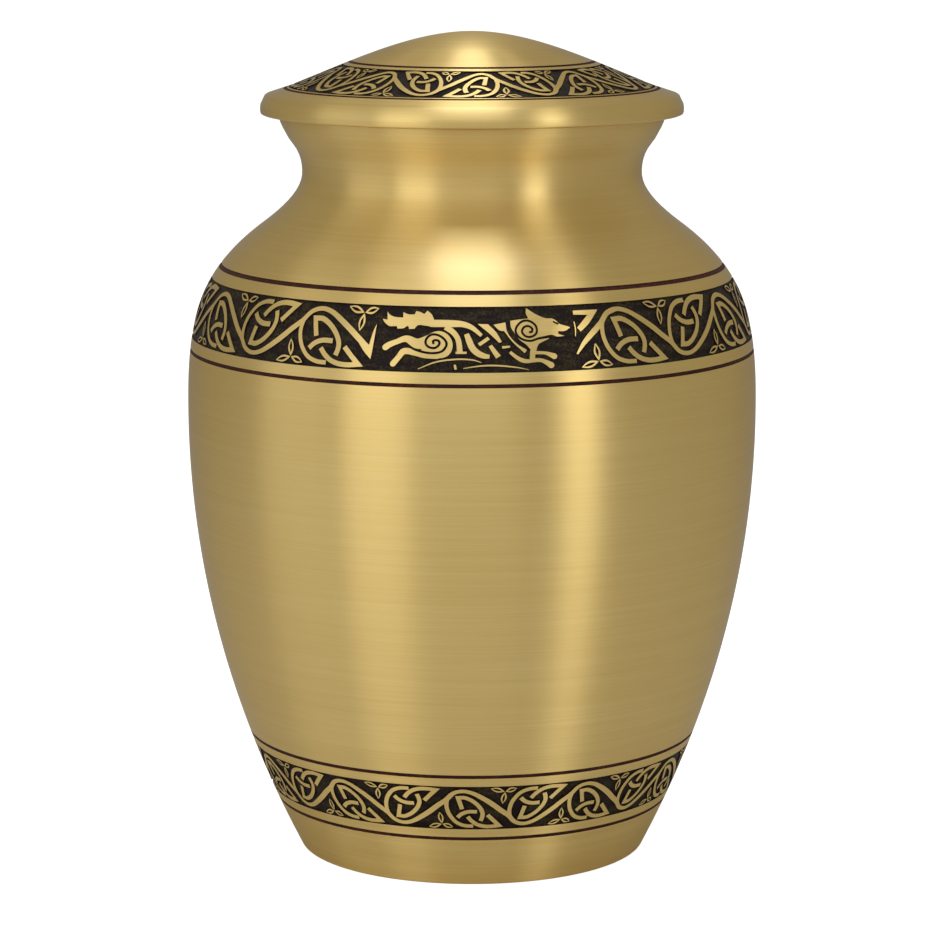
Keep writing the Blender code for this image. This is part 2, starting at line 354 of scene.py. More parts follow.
@dataclass
class Band:
    """A sunk band on a turned surface, and the flat pattern of the ornament that stands in it.

    The pattern is drawn in metres, along the band and up it. The surface gives the point
    (radius, height) at a share of the way up the band.
    """

    surface: Callable[[float], Point]
    step: float
    start: float
    way: Way = Way.RIGHT
    depth: float = 0.5 * MM
    slant: float = 0.12 * MM
    spacing: float = 0.55 * MM
    shapes: list[tuple[Cut, Outline]] = field(default_factory=list)

    def __post_init__(self) -> None:
        """Measures the band along its slope and at its middle."""
        low, high = Vector(self.surface(0)), Vector(self.surface(1))
        self.height = (high - low).length
        self.radius = (low.x + high.x) / 2

    def in_unit(self, unit: int) -> Callable[[Point], Vector]:
        """Gives the placing of one unit's points, (steps along, share up). Odd units are upside down.

        Args:
            unit: The unit's number.

        Returns:
            The placing.
        """

        def place(point: Point) -> Vector:
            """Puts a unit's point in the flat pattern."""
            share = 1 - point[1] if unit % 2 else point[1]
            return Vector(((unit + point[0]) * self.step * self.radius, share * self.height))

        return place

    def in_degrees(self, point: Point) -> Vector:
        """Puts a point (degrees from the front, share up) in the flat pattern."""
        along = self.way.value * (math.radians(point[0]) - self.start) * self.radius
        return Vector((along, point[1] * self.height))

    def add(
        self, shape: "Stroke | Blade | Leaf", place: Callable[[Point], Vector], cut: Cut = Cut.RAISED
    ) -> None:
        """Adds a shape to the pattern.

        Args:
            shape: The strap, blade or leaf.
            place: Puts its points in the flat pattern.
            cut: Whether it stands up or is cut in.
        """
        self.shapes.append((cut, shape.outline(place, self.spacing)))

    def flat(self, angle: float, share: float) -> Vector:
        """Gives a point's place in the flat ring, in millimetres, that is cut into triangles."""
        reach = (self.radius + (share - 0.5) * self.height) / MM
        return Vector((reach * math.sin(angle), -reach * math.cos(angle)))

    def lifted(self, point: Vector, sunk: bool) -> Vector:
        """Gives the place in the model of a point of the flat ring.

        Args:
            point: The point in the flat ring.
            sunk: Whether it lies on the ground or at the brass's own level.

        Returns:
            The point in the model.
        """
        share = min(max((point.length * MM - self.radius) / self.height + 0.5, 0), 1)
        here = Vector(self.surface(share))
        above = Vector(self.surface(min(share + SHARE_STEP, 1)))
        slope = above - Vector(self.surface(max(share - SHARE_STEP, 0)))
        inward = Vector((-slope.y, slope.x)).normalized() * self.depth
        radius, height = here + inward if sunk else here
        return on_ring(radius, height, math.atan2(point.x, -point.y))

    def carve(self, name: str) -> bpy.types.Object:
        """Makes the band's mesh: ornament and border at the brass's level, slanting sides, sunk ground.

        Args:
            name: The new object's name.

        Returns:
            The band, open along its two edges.
        """
        edge = self.slant / self.height
        rings = (0.0, edge, 1 - edge, 1.0)
        corners: Outline = []
        loops: list[list[int]] = []
        kinds: list[str] = []
        for share in rings:
            loops.append(list(range(len(corners), len(corners) + ROUND)))
            kinds.append("ring")
            corners += [self.flat(math.tau * k / ROUND, share) for k in range(ROUND)]
        for cut, outline in self.shapes:
            half = self.slant / 2
            inner = ("top", -half) if cut is Cut.RAISED else ("mouth", half)
            outer = ("foot", half) if cut is Cut.RAISED else ("bottom", -half)
            for kind, by in (inner, outer):
                ring = [
                    self.flat(self.start + self.way.value * p.x / self.radius, p.y / self.height)
                    for p in grown(outline, by)
                ]
                numbers = list(range(len(corners), len(corners) + len(ring)))
                loops.append(numbers if signed_area(ring) > 0 else numbers[::-1])
                kinds.append(kind)
                corners += ring
        points, _, triangles, origins, _, sources = delaunay_2d_cdt(
            corners, [], loops, 0, SAME_CORNER, True
        )
        inside = [(t, s) for t, s in zip(triangles, sources) if s and 0 not in s]
        tops = []
        for _, source in inside:
            found = {kinds[k] for k in source}
            tops.append("top" in found and "mouth" not in found)
        level = {k for (triangle, _), top in zip(inside, tops) if top for k in triangle}
        edges = {*loops[0], *loops[3]}
        level |= {k for k, origin in enumerate(origins) if edges & set(origin)}
        mesh = bmesh.new()
        verts = [mesh.verts.new(self.lifted(point, k not in level)) for k, point in enumerate(points)]
        for (triangle, _), top in zip(inside, tops):
            face = mesh.faces.new([verts[k] for k in triangle])
            face.material_index = (Slot.BRASS if top else Slot.GROUND).value
        bmesh.ops.delete(mesh, geom=[v for v in mesh.verts if not v.link_faces], context="VERTS")
        data = bpy.data.meshes.new(name)
        mesh.to_mesh(data)
        mesh.free()
        band = bpy.data.objects.new(name, data)
        bpy.context.scene.collection.objects.link(band)
        return band


# One unit of the scroll, in steps along the band and shares of its height. The next unit is the same
# one turned upside down, so that the stem rises and falls, and each curl holds a three-cornered knot.
STEM = ((0, 0.69), (0.11, 0.84), (0.25, 0.896), (0.40, 0.86), (0.56, 0.745), (0.72, 0.60), (0.87, 0.44))
STEM_SWELL = (1.05, 0.94, 0.88, 0.93, 1.07, 1.15, 1.12)
CURL = (
    (0.03, 0.74), (0.01, 0.65), (0.005, 0.53), (0.03, 0.39),
    (0.08, 0.27), (0.165, 0.155), (0.29, 0.09), (0.43, 0.08),
)
KNOT = (
    (
        ((0.25, 0.475), (0.19, 0.745)),
        (
            (0.19, 0.745), (0.30, 0.745), (0.43, 0.655), (0.53, 0.52),
            (0.575, 0.39), (0.57, 0.29), (0.545, 0.20),
        ),
    ),
    (((0.17, 0.28), (0.245, 0.37), (0.355, 0.42), (0.49, 0.42)),),
    (
        ((0.335, 0.305), (0.40, 0.205), (0.49, 0.12), (0.60, 0.075), (0.72, 0.068), (0.85, 0.085)),
        ((0.85, 0.085), (0.74, 0.23), (0.655, 0.345)),
    ),
)
TREFOIL_CENTRE = (-0.085, 0.125)
TREFOIL_TIPS = ((-0.115, 0.41), (-0.315, 0.040), (0.10, 0.050))
# Where the slot in a leaf begins and ends, in shares of the leaf's length.
LEAF_SLOT = (0.24, 0.84)
# How far the last trefoil of an open scroll stands from its usual place, in steps.
LAST_NUDGE = -0.06


@dataclass(frozen=True)
class Scroll:
    """The running scroll of one band: its stem, and the curl, the knot and the trefoil of each unit."""

    units: int
    closed: bool
    stem_width: float
    branch_width: float
    knot_width: float
    leaf_width: float
    slot_width: float

    def draw(self, band: Band) -> None:
        """Draws the whole scroll on its band.

        Args:
            band: The band that gets the ornament.
        """
        half = self.units // 2
        for first, last in ((0, half), (half, self.units)):
            self.stem(band, first, last)
        for unit in range(self.units):
            place = band.in_unit(unit)
            band.add(Stroke((CURL,), (self.branch_width,)), place)
            for runs in KNOT:
                band.add(Stroke(runs, (self.knot_width,)), place)
            self.trefoil(band, unit)
        if not self.closed:
            self.trefoil(band, self.units, LAST_NUDGE)

    def stem(self, band: Band, first: int, last: int) -> None:
        """Draws the stem from one unit to another, a little into the next.

        Args:
            band: The band that gets it.
            first: The first unit.
            last: The unit that it stops before.
        """
        line = [band.in_unit(unit)(p) for unit in range(first, last) for p in STEM]
        widths = [self.stem_width * swell for _ in range(first, last) for swell in STEM_SWELL]
        line.append(band.in_unit(last)(STEM[0]))
        widths.append(self.stem_width * STEM_SWELL[0])
        if self.closed or last < self.units:
            line.append(band.in_unit(last)(STEM[1]))
            widths.append(self.stem_width * STEM_SWELL[1])
        if self.closed or first > 0:
            line.insert(0, band.in_unit(first - 1)(STEM[-1]))
            widths.insert(0, self.stem_width * STEM_SWELL[-1])
        band.add(Stroke((tuple(line),), tuple(widths)), Vector)

    def trefoil(self, band: Band, unit: int, nudge: float = 0.0) -> None:
        """Draws a unit's three pointed leaves round their centre, each with a slot cut along it.

        Args:
            band: The band that gets them.
            unit: The unit's number.
            nudge: How far along they stand from their usual place, in steps.
        """
        place = band.in_unit(unit)
        centre, *tips = (place((along + nudge, up)) for along, up in (TREFOIL_CENTRE, *TREFOIL_TIPS))
        for tip in tips:
            band.add(Leaf(self.leaf_width, 0.0, 1.0), self.leaf_place(centre, tip))
        for tip in tips:
            band.add(Leaf(self.slot_width, *LEAF_SLOT), self.leaf_place(centre, tip), Cut.SUNK)

    def leaf_place(self, centre: Vector, tip: Vector) -> Callable[[Point], Vector]:
        """Gives the placing of a leaf's points: shares of its length along it, and metres across it.

        Args:
            centre: The trefoil's centre.
            tip: The leaf's tip.

        Returns:
            The placing.
        """
        along = tip - centre
        across = Vector((-along.y, along.x)).normalized()

        def place(point: Point) -> Vector:
            """Puts a leaf's point in the flat pattern."""
            return centre + along * point[0] + across * point[1]

        return place


@dataclass(frozen=True)
class Leaf:
    """A pointed leaf along the line from a trefoil's centre to its tip, or the slot in one."""

    width: float
    start: float
    end: float
    sides: int = 7

    def outline(self, place: Callable[[Point], Vector], spacing: float) -> Outline:
        """Draws the leaf's outline.

        Args:
            place: Puts a point (share along the leaf, metres across it) in the flat pattern.
            spacing: Not used, because a leaf has a set number of sides.

        Returns:
            The closed outline, in the flat pattern.
        """
        shares = spread(0, 1, self.sides)
        length = self.end - self.start
        up = [(self.start + length * t, self.width / 2 * math.sin(math.pi * t)) for t in shares]
        down = [(along, -across) for along, across in up[1:-1]]
        return [place(p) for p in up + down[::-1]]


class Hound:
    """The running hound of the main band, in degrees from the front and shares of the band's height."""

    def draw(self, band: Band) -> None:
        """Draws the hound, the grooves in it and the lines of the ground it runs over.

        Args:
            band: The main band.
        """
        for shape in (*self.straps(), *self.legs(), *self.solid_forms()):
            band.add(shape, band.in_degrees)
        for shape in self.grooves():
            band.add(shape, band.in_degrees, Cut.SUNK)

    def straps(self) -> tuple[Stroke, ...]:
        """Gives the straps of the back, body and shoulder, the ground's lines and the mark at the mouth.

        Returns:
            The straps.
        """
        return (
            strap(
                (2.2, 2.25, 2.2, 1.85, 1.55, 1.1),
                ((-8.4, 0.75), (-7.5, 0.75), (-4.2, 0.75), (-1.8, 0.74), (0, 0.69), (1.9, 0.57)),
            ),
            strap((1.8, 1.75, 1.65, 1.8), ((-5.3, 0.70), (-3.7, 0.62), (-2.7, 0.51), (-2.3, 0.295))),
            strap((0.8,), ((-3.2, 0.31), (-1.0, 0.31))),
            strap(
                (1.5, 1.9, 2.0, 1.95, 1.7, 1.2),
                ((-1.1, 0.60), (-0.6, 0.50), (0.1, 0.38), (1.2, 0.30), (2.4, 0.26), (3.4, 0.25)),
            ),
            strap((1.15,), ((1.3, 0.43), (3.3, 0.535))),
            strap((1.2, 1.75), ((3.5, 0.42), (4.3, 0.33), (5.1, 0.24))),
            strap((0.9, 1.5, 0.7), ((5.8, 0.39), (7.4, 0.40))),
            strap((1.0, 1.2, 1.4, 1.2), ((7.3, 0.32), (8.5, 0.24), (9.9, 0.18), (11.3, 0.17))),
            strap(
                (1.6, 1.8, 1.2, 0.3),
                ((11.6, 0.19), (11.9, 0.34), (12.7, 0.45), (13.7, 0.48), (15.2, 0.51)),
            ),
            strap(
                (0.3, 0.55, 0.6, 0.5, 0.3),
                ((-10.4, 0.05), (-7.1, 0.16), (-3.1, 0.21), (0.2, 0.20), (1.8, 0.16)),
            ),
            strap(
                (0.3, 0.55, 0.6, 0.5, 0.25),
                ((-1.7, 0.07), (1.9, 0.11), (5.2, 0.11), (8.5, 0.08), (10.9, 0.04)),
            ),
            strap((0.8,), ((-3.3, 0.13), (-3.1, 0.05))),
            strap((0.4, 0.5, 0.3), ((20.8, 0.75), (20.9, 0.63), (20.7, 0.52))),
        )

    def legs(self) -> tuple[Stroke, ...]:
        """Gives the two hind legs and the two forelegs, which end in rounded paws.

        Returns:
            The legs.
        """
        return (
            strap(
                (4.0, 3.2, 2.1, 1.7, 1.9, 2.0),
                (
                    (-8.0, 0.49), (-10.6, 0.44), (-12.9, 0.51),
                    (-14.8, 0.46), (-16.3, 0.41), (-17.0, 0.37),
                ),
                round_end=True,
            ),
            strap(
                (1.6, 1.65, 1.85, 2.0, 1.75, 1.85),
                ((-6.4, 0.25), (-9.1, 0.26), (-11.1, 0.30), (-13.2, 0.32), (-14.2, 0.23), (-15.3, 0.12)),
                round_end=True,
            ),
            strap(
                (1.2, 1.05, 1.5, 1.9),
                ((11.6, 0.30), (14.1, 0.29), (15.3, 0.26), (16.0, 0.235)),
                round_end=True,
            ),
            strap(
                (1.4, 1.25, 1.6, 2.0),
                ((11.2, 0.18), (13.3, 0.18), (14.5, 0.14), (15.3, 0.10)),
                round_end=True,
            ),
        )

    def solid_forms(self) -> tuple[Blade, ...]:
        """Gives the tail, the haunch, two broad straps, and the shoulder with the head.

        Returns:
            The forms.
        """
        tail = (
            ((-17.2, 0.79),),
            ((-17.5, 0.92),),
            ((-16.9, 0.87), (-16.0, 0.84), (-15.0, 0.83), (-14.0, 0.83)),
            ((-14.1, 0.91),),
            ((-13.0, 0.88), (-11.7, 0.88)),
            ((-11.4, 0.93),),
            ((-10.6, 0.92), (-9.7, 0.89)),
            ((-9.1, 0.94),),
            ((-8.2, 0.89), (-7.6, 0.81), (-7.2, 0.69)),
            ((-9.2, 0.71), (-10.3, 0.72), (-10.9, 0.71), (-11.4, 0.66)),
            ((-12.6, 0.655),),
            ((-12.8, 0.7), (-13.6, 0.665), (-14.9, 0.655)),
            ((-15.1, 0.69), (-16.6, 0.69), (-17.8, 0.75), (-18.3, 0.8)),
        )
        haunch = (
            (
                (-8.8, 0.57), (-6.5, 0.64), (-4.5, 0.57), (-3.7, 0.42), (-4.5, 0.27),
                (-6.5, 0.22), (-9.0, 0.275), (-10.4, 0.41),
            ),
        )
        first_strap = (
            ((3.2, 0.745),),
            ((4.8, 0.62), (5.85, 0.475)),
            ((5.3, 0.455),),
            ((3.3, 0.605), (1.0, 0.75)),
        )
        second_strap = (
            ((6.7, 0.77),),
            ((7.0, 0.62), (8.6, 0.455), (10.7, 0.345)),
            ((10.2, 0.29),),
            ((9.6, 0.335), (7.8, 0.475), (6.3, 0.635)),
            ((5.4, 0.645), (4.2, 0.735)),
        )
        head = (
            ((8.4, 0.8), (9.7, 0.81), (11.3, 0.82)),
            ((10.9, 0.9), (11.1, 0.975)),
            ((11.9, 0.935), (13.0, 0.88), (14.8, 0.82), (16.3, 0.81)),
            ((17.0, 0.78), (17.6, 0.73), (18.6, 0.7), (19.5, 0.68), (19.9, 0.66)),
            ((18.6, 0.61), (17.3, 0.61)),
            ((17.2, 0.58), (17.7, 0.56)),
            ((18.6, 0.54),),
            ((16.9, 0.53), (15.8, 0.56), (14.1, 0.54), (12.9, 0.51)),
            ((12.6, 0.33),),
            ((11.5, 0.34), (10.6, 0.42), (9.3, 0.5), (8.3, 0.61), (7.7, 0.69), (7.6, 0.79)),
        )
        return tuple(Blade(runs) for runs in (tail, haunch, first_strap, second_strap, head))

    def grooves(self) -> tuple[Stroke, ...]:
        """Gives the spirals cut in the haunch and the shoulder, and the eye.

        Returns:
            The grooves.
        """
        hind_spiral = (
            (-13.7, 0.41), (-12.4, 0.40), (-11.1, 0.35), (-9.2, 0.31), (-7.4, 0.30), (-5.8, 0.33),
            (-5.0, 0.41), (-5.0, 0.47), (-5.8, 0.54), (-6.9, 0.58), (-8.0, 0.58), (-8.9, 0.52),
            (-9.0, 0.44), (-8.3, 0.39), (-7.2, 0.38), (-6.4, 0.43), (-6.4, 0.48), (-7.1, 0.50),
            (-7.6, 0.48), (-7.5, 0.44),
        )
        fore_spiral = (
            (15.6, 0.54), (14.3, 0.53), (12.9, 0.51), (11.5, 0.48), (10.1, 0.50), (9.1, 0.55),
            (8.6, 0.64), (9.1, 0.72), (10.2, 0.78), (11.5, 0.78), (12.6, 0.72), (12.9, 0.65),
            (12.6, 0.58), (11.5, 0.54), (10.6, 0.55), (9.9, 0.61), (10.0, 0.66), (10.6, 0.70),
            (11.4, 0.70), (12.0, 0.66), (11.9, 0.62), (11.3, 0.61),
        )
        eye = ((16.4, 0.76), (17.4, 0.72))
        return strap((0.6,), hind_spiral), strap((0.55,), fore_spiral), strap((0.4, 0.8, 0.4), eye)


@dataclass(frozen=True)
class Stretch:
    """A point of a turned outline, and the finish of the stretch that leads to it."""

    radius: float
    height: float
    slot: Slot = Slot.BRASS


def stretches(points: Sequence[Point], slot: Slot = Slot.BRASS) -> list[Stretch]:
    """Makes a row of outline points that share one finish."""
    return [Stretch(radius, height, slot) for radius, height in points]


def deselect() -> None:
    """Leaves object mode with nothing selected."""
    if bpy.context.mode != "OBJECT":
        bpy.ops.object.mode_set(mode="OBJECT")
    bpy.ops.object.select_all(action="DESELECT")


def turned(name: str, outline: Sequence[Stretch]) -> bpy.types.Object:
    """Turns an outline round the axis, ring by ring, as on a lathe.

    Args:
        name: The new object's name.
        outline: The outline's points in order. A radius of nought at either end closes it in a pole.

    Returns:
        The turned shell.
    """
    deselect()
    rings = [s for s in outline if s.radius > 0]
    first = rings[0]
    bpy.ops.mesh.primitive_circle_add(
        vertices=ROUND, radius=first.radius, fill_type="NOTHING", location=(0, 0, first.height)
    )
    shell = bpy.context.object
    shell.name = name
    bpy.ops.object.transform_apply(location=True, rotation=True, scale=True)
    bpy.ops.object.mode_set(mode="EDIT")
    bpy.ops.mesh.select_mode(type="VERT")
    bpy.ops.mesh.select_all(action="SELECT")
    if outline[0].radius == 0:
        pole(first.height, outline[0].height)
        select_ring(shell, first.radius, first.height)
    for before, after in zip(rings, rings[1:]):
        bpy.ops.mesh.extrude_edges_move(
            TRANSFORM_OT_translate={"value": (0, 0, after.height - before.height)}
        )
        share = after.radius / before.radius
        bpy.ops.transform.resize(value=(share, share, 1), center_override=(0, 0, 0))
    if outline[-1].radius == 0:
        pole(rings[-1].height, outline[-1].height)
    bpy.ops.object.mode_set(mode="OBJECT")
    middles = [
        ((a.radius + b.radius) / 2, (a.height + b.height) / 2, b.slot)
        for a, b in zip(outline, outline[1:])
    ]
    for face in shell.data.polygons:
        radius, height = face.center.xy.length, face.center.z
        nearest = min(middles, key=lambda m: math.hypot(m[0] - radius, m[1] - height))
        face.material_index = nearest[2].value
    return shell


def pole(ring_height: float, pole_height: float) -> None:
    """Closes the selected ring with faces that meet at one point on the axis."""
    bpy.ops.mesh.extrude_edges_move(TRANSFORM_OT_translate={"value": (0, 0, pole_height - ring_height)})
    bpy.ops.mesh.merge(type="CENTER")


def select_ring(shell: bpy.types.Object, radius: float, height: float) -> None:
    """Selects the ring of points at a radius and a height, in edit mode.

    Args:
        shell: The shell that is being edited.
        radius: The ring's radius.
        height: Its height.
    """
    mesh = bmesh.from_edit_mesh(shell.data)
    for vert in mesh.verts:
        off = math.hypot(vert.co.xy.length - radius, vert.co.z - height)
        vert.select_set(off < RING_REACH)
    mesh.select_flush_mode()
    bmesh.update_edit_mesh(shell.data)


def made_one(
    parts: Sequence[bpy.types.Object], name: str, finishes: Sequence[bpy.types.Material]
) -> bpy.types.Object:
    """Joins shells into one closed piece, with its finishes in slots and its faces outward.

    Args:
        parts: The shells, which share the points of the edges where they meet.
        name: The piece's name.
        finishes: One material for each slot, in the slots' order.

    Returns:
        The finished piece.
    """
    deselect()
    for part in parts:
        for finish in finishes:
            part.data.materials.append(finish)
        part.select_set(True)
    bpy.context.view_layer.objects.active = parts[0]
    bpy.ops.object.join()
    piece = bpy.context.object
    piece.name = name
    bpy.ops.object.mode_set(mode="EDIT")
    bpy.ops.mesh.select_mode(type="VERT")
    bpy.ops.mesh.select_all(action="SELECT")
    bpy.ops.mesh.remove_doubles(threshold=WELD)
    bpy.ops.mesh.select_all(action="SELECT")
    bpy.ops.mesh.normals_make_consistent(inside=False)
    bpy.ops.object.mode_set(mode="OBJECT")
    bpy.ops.object.shade_smooth_by_angle(angle=SMOOTH_BEND)
    report(piece)
    return piece


def report(piece: bpy.types.Object) -> None:
    """Logs a piece's triangles, its edges that aren't shared by just two faces, and its volume.

    Args:
        piece: The finished piece.
    """
    mesh = bmesh.new()
    mesh.from_mesh(piece.data)
    open_edges = sum(len(edge.link_faces) != 2 for edge in mesh.edges)
    triangles = sum(len(face.verts) - 2 for face in mesh.faces)
    volume = mesh.calc_volume(signed=True)
    mesh.free()
    LOG.info("%s: %d triangles, %d open edges", piece.name, triangles, open_edges)
    LOG.info("%s: %.0f cubic mm", piece.name, volume / MM**3)


def groove(point_at: Callable[[float], Point], start: float, end: float) -> list[Stretch]:
    """Makes the points of a narrow groove in an outline that runs up the urn, or in towards its axis.

    Args:
        point_at: Gives the outline's point at a place.
        start: The place where the groove begins.
        end: The place where it ends.

    Returns:
        The groove's four points.
    """
    low, high = Vector(point_at(start)), Vector(point_at(end))
    across = high - low
    inward = Vector((-across.y, across.x)).normalized() * GROOVE_DEPTH
    floor = (low + across * GROOVE_SLANT + inward, high - across * GROOVE_SLANT + inward)
    return [Stretch(*low), *stretches([tuple(p) for p in (*floor, high)], Slot.LINE)]


@dataclass(frozen=True)
class Line:
    """A thin groove round the urn: the place of its middle on the outline, and its width."""

    middle: float
    width: float


def lined(
    point_at: Callable[[float], Point], start: float, end: float, pieces: int, lines: Sequence[Line]
) -> list[Stretch]:
    """Runs along an outline and cuts thin grooves in it.

    Args:
        point_at: Gives the outline's point at a place.
        start: The first place.
        end: The last place.
        pieces: How many stretches the outline gets, its grooves apart.
        lines: The grooves, in the order in which the run meets them.

    Returns:
        The outline's points.
    """
    sign = 1 if end > start else -1
    run = [(place, [Stretch(*point_at(place))]) for place in spread(start, end, pieces)]
    for line in lines:
        half = sign * line.width / 2
        room = line.width * GROOVE_ROOM
        run = [(place, points) for place, points in run if abs(place - line.middle) > room]
        run.append((line.middle, groove(point_at, line.middle - half, line.middle + half)))
    return [point for _, points in sorted(run, key=lambda pair: sign * pair[0]) for point in points]


@dataclass(frozen=True)
class UrnBody:
    """The hollow vessel, with a scroll above its foot, and the scroll and the hound on its shoulder."""

    wall: float = 2.0 * MM
    floor: float = 2.2 * MM
    foot_edge: float = 0.8 * MM
    mouth_radius: float = 48.0 * MM
    lip_thickness: float = 2.8 * MM
    lip_round: float = 0.5 * MM
    foot_rings: int = 6
    belly_rings: int = 46
    neck_rings: int = 30
    inside_rings: int = 36
    low_band: tuple[float, float] = (20.3 * MM, 35.3 * MM)
    main_band: tuple[float, float] = (164.9 * MM, 183.6 * MM)
    lines: tuple[Line, ...] = (
        Line(16.9 * MM, 1.15 * MM),
        Line(38.6 * MM, 1.15 * MM),
        Line(161.0 * MM, 1.15 * MM),
        Line(187.4 * MM, 1.2 * MM),
    )
    outline: Turning = Turning(
        (
            Level(0, 54.9 * MM, 0.51),
            Level(141.8 * MM, 90.0 * MM, 0),
            Level(172.0 * MM, 87.0 * MM, -0.27),
            Level(199.8 * MM, 66.4 * MM, -1.35),
            Level(216.3 * MM, 53.4 * MM, 0),
            Level(226.2 * MM, 57.05 * MM, 0.90),
            Level(226.6 * MM, 57.35 * MM, 0.50),
            Level(234.2 * MM, 60.7 * MM, 0.10),
        )
    )

    def build(self, finishes: Sequence[bpy.types.Material]) -> bpy.types.Object:
        """Builds the vessel.

        Args:
            finishes: One material for each slot.

        Returns:
            The finished piece.
        """
        point = self.outline.point
        low, high = self.low_band
        main_low, main_high = self.main_band
        foot = stretches([(0, 0), (self.outline.radius(0) - self.foot_edge, 0)])
        for turned_by in (0.25, 0.5, 0.75):
            edge = self.foot_edge * (1 - math.sin(turned_by * math.pi / 2))
            height = self.foot_edge * (1 - math.cos(turned_by * math.pi / 2))
            foot.append(Stretch(self.outline.radius(height) - edge, height))
        foot += lined(point, self.foot_edge, low, self.foot_rings, self.lines[:1])
        belly = lined(point, high, main_low, self.belly_rings, self.lines[1:3])
        neck_end = self.outline.levels[-1].height - self.lip_round
        upper = lined(point, main_high, neck_end, self.neck_rings, self.lines[3:])
        shells = (
            turned("foot_shell", foot),
            self.carved_low_band().carve("low_band"),
            turned("belly_shell", belly),
            self.carved_main_band().carve("main_band"),
            turned("upper_shell", upper + self.lip() + self.inside()),
        )
        return made_one(shells, "urn_body_carved", finishes)

    def lip(self) -> list[Stretch]:
        """Gives the rounded outer corner of the lip, its flat top and the mouth's edge.

        Returns:
            The outline's points.
        """
        top = self.outline.levels[-1]
        corner = []
        for turned_by in (0.33, 0.67, 1.0):
            inward = self.lip_round * (1 - math.cos(turned_by * math.pi / 2))
            up = self.lip_round * math.sin(turned_by * math.pi / 2)
            corner.append((top.radius - inward, top.height - self.lip_round + up))
        mouth = [(self.mouth_radius, top.height), (self.mouth_radius, top.height - self.lip_thickness)]
        return stretches(corner + mouth)

    def inside(self) -> list[Stretch]:
        """Gives the wall's inner face from the mouth down, and the floor to its centre.

        Returns:
            The outline's points.
        """
        top = self.outline.levels[-1].height - self.lip_thickness
        heights = spread(top, self.floor, self.inside_rings)
        wall = [self.outline.inner(height, self.wall) for height in heights]
        return stretches([*wall, (0, self.floor)], Slot.INSIDE)

    def carved_low_band(self) -> Band:
        """Draws the scroll of the low band, which has no end.

        Returns:
            The band.
        """
        scroll = Scroll(
            units=22,
            closed=True,
            stem_width=1.6 * MM,
            branch_width=1.4 * MM,
            knot_width=1.45 * MM,
            leaf_width=1.9 * MM,
            slot_width=0.60 * MM,
        )
        surface = self.surface_between(*self.low_band)
        band = Band(surface, step=math.tau / scroll.units, start=math.radians(-6.66))
        scroll.draw(band)
        return band

    def carved_main_band(self) -> Band:
        """Draws the scroll of the main band, its two ends beside the hound, and the hound.

        Returns:
            The band.
        """
        surface = self.surface_between(*self.main_band)
        band = Band(surface, step=math.radians(16.5), start=math.radians(26.6))
        scroll = Scroll(
            units=19,
            closed=False,
            stem_width=1.65 * MM,
            branch_width=1.45 * MM,
            knot_width=1.65 * MM,
            leaf_width=2.2 * MM,
            slot_width=0.80 * MM,
        )
        scroll.draw(band)
        ends = (
            strap(
                (0.6, 1.4, 1.8, 1.8, 1.65, 1.5),
                ((20.7, 0.25), (22.3, 0.41), (24.1, 0.54), (26.6, 0.70), (28.4, 0.84), (30.7, 0.896)),
            ),
            strap(
                (1.3, 1.7, 2.0, 1.7),
                ((20.9, 0.88), (25.3, 0.87)),
                ((25.3, 0.87), (23.5, 0.74), (21.6, 0.62)),
            ),
        )
        for end in ends:
            band.add(end, band.in_degrees)
        thorn = (
            ((337.3, 0.547), (338.4, 0.475), (339.56, 0.387)),
            ((339.92, 0.527), (340.28, 0.642), (340.8, 0.735)),
            ((340.6, 0.493), (340.37, 0.295), (340.14, 0.172)),
            ((338.66, 0.285), (336.85, 0.47)),
            ((336.4, 0.6),),
        )
        band.add(Blade(thorn), band.in_degrees)
        Hound().draw(band)
        return band

    def surface_between(self, low: float, high: float) -> Callable[[float], Point]:
        """Gives the outline's point at a share of the way from one height to another.

        Args:
            low: The lower height.
            high: The upper height.

        Returns:
            The surface of a band, as Band takes it.
        """

        def surface(share: float) -> Point:
            """Gives the band's point (radius, height) at a share of the way up it."""
            return self.outline.point(low + (high - low) * share)

        return surface


